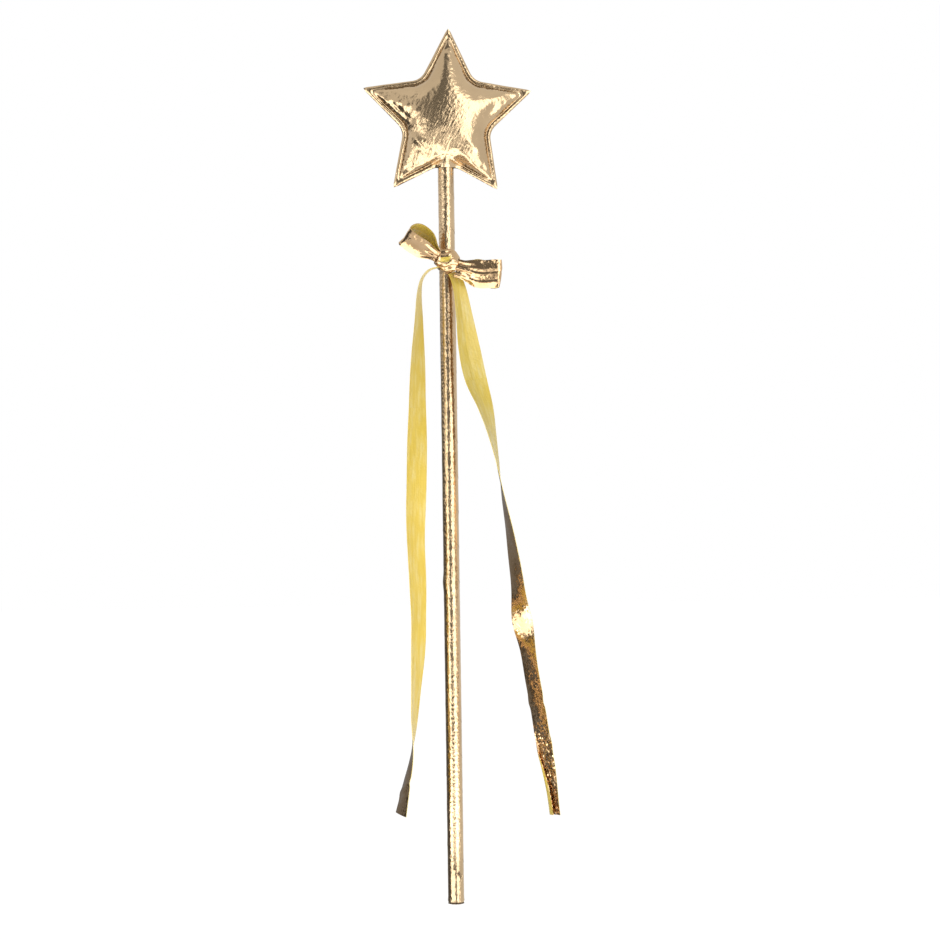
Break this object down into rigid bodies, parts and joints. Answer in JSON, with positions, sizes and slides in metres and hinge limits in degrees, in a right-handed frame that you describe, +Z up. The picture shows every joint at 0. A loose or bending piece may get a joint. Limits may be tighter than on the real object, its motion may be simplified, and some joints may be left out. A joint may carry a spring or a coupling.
{
  "type": "toy magic wand",
  "caption": "Toy magic wand: a stuffed gold star sewn on a slim stick wrapped in gold leathercloth, with a two-sided ribbon tied in a bow whose tails hang free.",
  "frame": {"origin": "middle of the flat end of the disc that closes the stick's lower end", "axes": "+Z up along the stick to the star, +X to the right and +Y away from a viewer who faces the bow"},
  "size_m": [0.1018, 0.0344, 0.4814],
  "materials": {
    "gold_leathercloth": "gloss",
    "gold_ribbon": "gloss",
    "gold_thread": "satin",
    "dowel_wood": "matte",
    "white_filling": "matte"
  },
  "bodies": {
    "wand": {"stick_core": "dowel_wood", "stick_end_disc": "gold_leathercloth", "wrap_end_turn": "gold_leathercloth", "stick_wrap": "gold_leathercloth", "star_filling": "white_filling", "star_front_panel": "gold_leathercloth", "star_back_panel": "gold_leathercloth", "seam_needle_thread": "gold_thread", "seam_bobbin_thread": "gold_thread"},
    "bow_band": {"ribbon_band": "gold_ribbon"},
    "bow_knot": {"ribbon_knot": "gold_ribbon", "ribbon_tail_left_root": "gold_ribbon", "ribbon_tail_right_root": "gold_ribbon"},
    "loop_left": {"ribbon_loop_left": "gold_ribbon"},
    "loop_right": {"ribbon_loop_right": "gold_ribbon"},
    "tail_left_upper": {"ribbon_tail_left_upper": "gold_ribbon"},
    "tail_left_lower": {"ribbon_tail_left_lower": "gold_ribbon"},
    "tail_right_upper": {"ribbon_tail_right_upper": "gold_ribbon"},
    "tail_right_lower": {"ribbon_tail_right_lower": "gold_ribbon"}
  },
  "joints": [
    {"name": "bow_slide", "type": "slide", "parent": "wand", "child": "bow_band", "axis": [0, 0, 1], "range_m": [-0.3, 0.015]},
    {"name": "bow_turn", "type": "hinge", "parent": "bow_band", "child": "bow_knot", "pos_m": [0, 0, 0.353], "axis": [0, 0, 1], "continuous": true},
    {"name": "loop_left_flex", "type": "hinge", "parent": "bow_knot", "child": "loop_left", "pos_m": [-0.00553, -0.0108, 0.35649], "axis": [0.4212, -0.7623, 0.4915], "range_deg": [-15, 30], "stiffness_Nm_per_rad": 0.002},
    {"name": "loop_right_flex", "type": "hinge", "parent": "bow_knot", "child": "loop_right", "pos_m": [0.0077, -0.0108, 0.3488], "axis": [0, 0, -1], "range_deg": [-12, 35], "stiffness_Nm_per_rad": 0.002},
    {"name": "tail_left_swing", "type": "hinge", "parent": "bow_knot", "child": "tail_left_upper", "pos_m": [-0.0155, -0.0108, 0.335], "axis": [0, 1, 0], "range_deg": [-6, 75], "stiffness_Nm_per_rad": 0.001},
    {"name": "tail_left_bend", "type": "hinge", "parent": "tail_left_upper", "child": "tail_left_lower", "pos_m": [-0.0195, -0.0128, 0.203], "axis": [0.6428, 0.766, 0], "range_deg": [-15, 60], "stiffness_Nm_per_rad": 0.001},
    {"name": "tail_right_swing", "type": "hinge", "parent": "bow_knot", "child": "tail_right_upper", "pos_m": [0.007, -0.0093, 0.335], "axis": [-0.809, -0.5878, 0], "range_deg": [-6, 75], "stiffness_Nm_per_rad": 0.001},
    {"name": "tail_right_bend", "type": "hinge", "parent": "tail_right_upper", "child": "tail_right_lower", "pos_m": [0.0275, -0.0133, 0.233], "axis": [0, -1, 0], "range_deg": [-12, 60], "stiffness_Nm_per_rad": 0.001}
  ]
}
